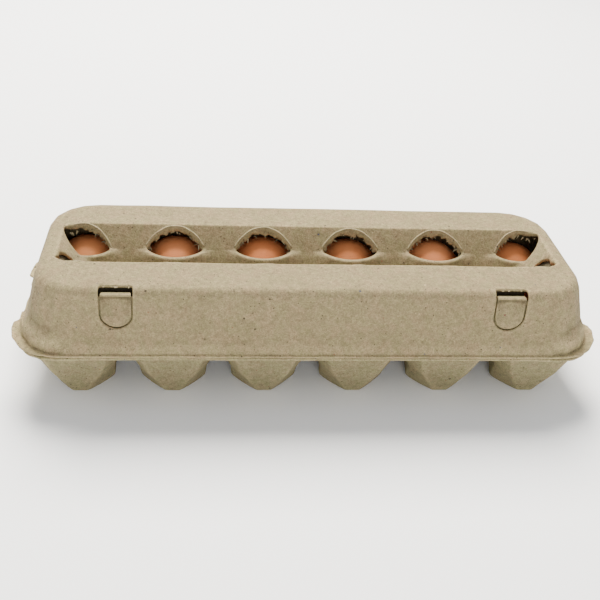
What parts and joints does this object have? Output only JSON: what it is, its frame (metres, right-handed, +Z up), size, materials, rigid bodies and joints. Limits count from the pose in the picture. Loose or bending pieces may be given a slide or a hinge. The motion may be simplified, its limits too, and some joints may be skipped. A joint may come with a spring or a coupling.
{
  "type": "egg carton",
  "caption": "Closed moulded-pulp egg carton with a hinged view lid, front lock flap and loose eggs in two rows of cups.",
  "frame": {"origin": "middle of the closed carton's outline, on the plane its feet stand on", "axes": "+X along the carton to the right seen from its locks, +Y to the hinge at the back, +Z up"},
  "size_m": [0.31, 0.108, 0.0701],
  "materials": {
    "pulp": "matt",
    "eggshell": "satin"
  },
  "bodies": {
    "tray": {"tray": "pulp", "front_fold": "pulp", "rear_hinge": "pulp"},
    "lid": {"lid": "pulp"},
    "lock_flap": {"lock_flap": "pulp", "lock_button_left": "pulp", "lock_button_right": "pulp"},
    "egg_front_1": {"egg_front_1": "eggshell"},
    "egg_front_2": {"egg_front_2": "eggshell"},
    "egg_front_3": {"egg_front_3": "eggshell"},
    "egg_front_4": {"egg_front_4": "eggshell"},
    "egg_front_5": {"egg_front_5": "eggshell"},
    "egg_front_6": {"egg_front_6": "eggshell"},
    "egg_back_1": {"egg_back_1": "eggshell"},
    "egg_back_2": {"egg_back_2": "eggshell"},
    "egg_back_3": {"egg_back_3": "eggshell"},
    "egg_back_4": {"egg_back_4": "eggshell"},
    "egg_back_5": {"egg_back_5": "eggshell"},
    "egg_back_6": {"egg_back_6": "eggshell"}
  },
  "joints": [
    {"name": "catch_press", "type": "hinge", "parent": "tray", "child": "lock_flap", "pos_m": [0, -0.0482, 0.0333], "axis": [-1, 0, 0], "range_deg": [0, 6], "stiffness_Nm_per_rad": 0.05, "springref_deg": -1.72},
    {"name": "cover_hinge", "type": "hinge", "parent": "tray", "child": "lid", "pos_m": [0, 0.05185, 0.03215], "axis": [-1, 0, 0], "range_deg": [0, 145], "deforming": ["rear_hinge", "lock_flap", "lock_button_left", "lock_button_right"]},
    {"name": "egg_front_1_lift", "type": "slide", "parent": "tray", "child": "egg_front_1", "axis": [0, 0, 1], "range_m": [0, 0.0015]},
    {"name": "egg_front_2_lift", "type": "slide", "parent": "tray", "child": "egg_front_2", "axis": [0, 0, 1], "range_m": [0, 0.0015]},
    {"name": "egg_front_3_lift", "type": "slide", "parent": "tray", "child": "egg_front_3", "axis": [0, 0, 1], "range_m": [0, 0.0015]},
    {"name": "egg_front_4_lift", "type": "slide", "parent": "tray", "child": "egg_front_4", "axis": [0, 0, 1], "range_m": [0, 0.0015]},
    {"name": "egg_front_5_lift", "type": "slide", "parent": "tray", "child": "egg_front_5", "axis": [0, 0, 1], "range_m": [0, 0.0015]},
    {"name": "egg_front_6_lift", "type": "slide", "parent": "tray", "child": "egg_front_6", "axis": [0, 0, 1], "range_m": [0, 0.0015]},
    {"name": "egg_back_1_lift", "type": "slide", "parent": "tray", "child": "egg_back_1", "axis": [0, 0, 1], "range_m": [0, 0.0015]},
    {"name": "egg_back_2_lift", "type": "slide", "parent": "tray", "child": "egg_back_2", "axis": [0, 0, 1], "range_m": [0, 0.0015]},
    {"name": "egg_back_3_lift", "type": "slide", "parent": "tray", "child": "egg_back_3", "axis": [0, 0, 1], "range_m": [0, 0.0015]},
    {"name": "egg_back_4_lift", "type": "slide", "parent": "tray", "child": "egg_back_4", "axis": [0, 0, 1], "range_m": [0, 0.0015]},
    {"name": "egg_back_5_lift", "type": "slide", "parent": "tray", "child": "egg_back_5", "axis": [0, 0, 1], "range_m": [0, 0.0015]},
    {"name": "egg_back_6_lift", "type": "slide", "parent": "tray", "child": "egg_back_6", "axis": [0, 0, 1], "range_m": [0, 0.0015]}
  ]
}
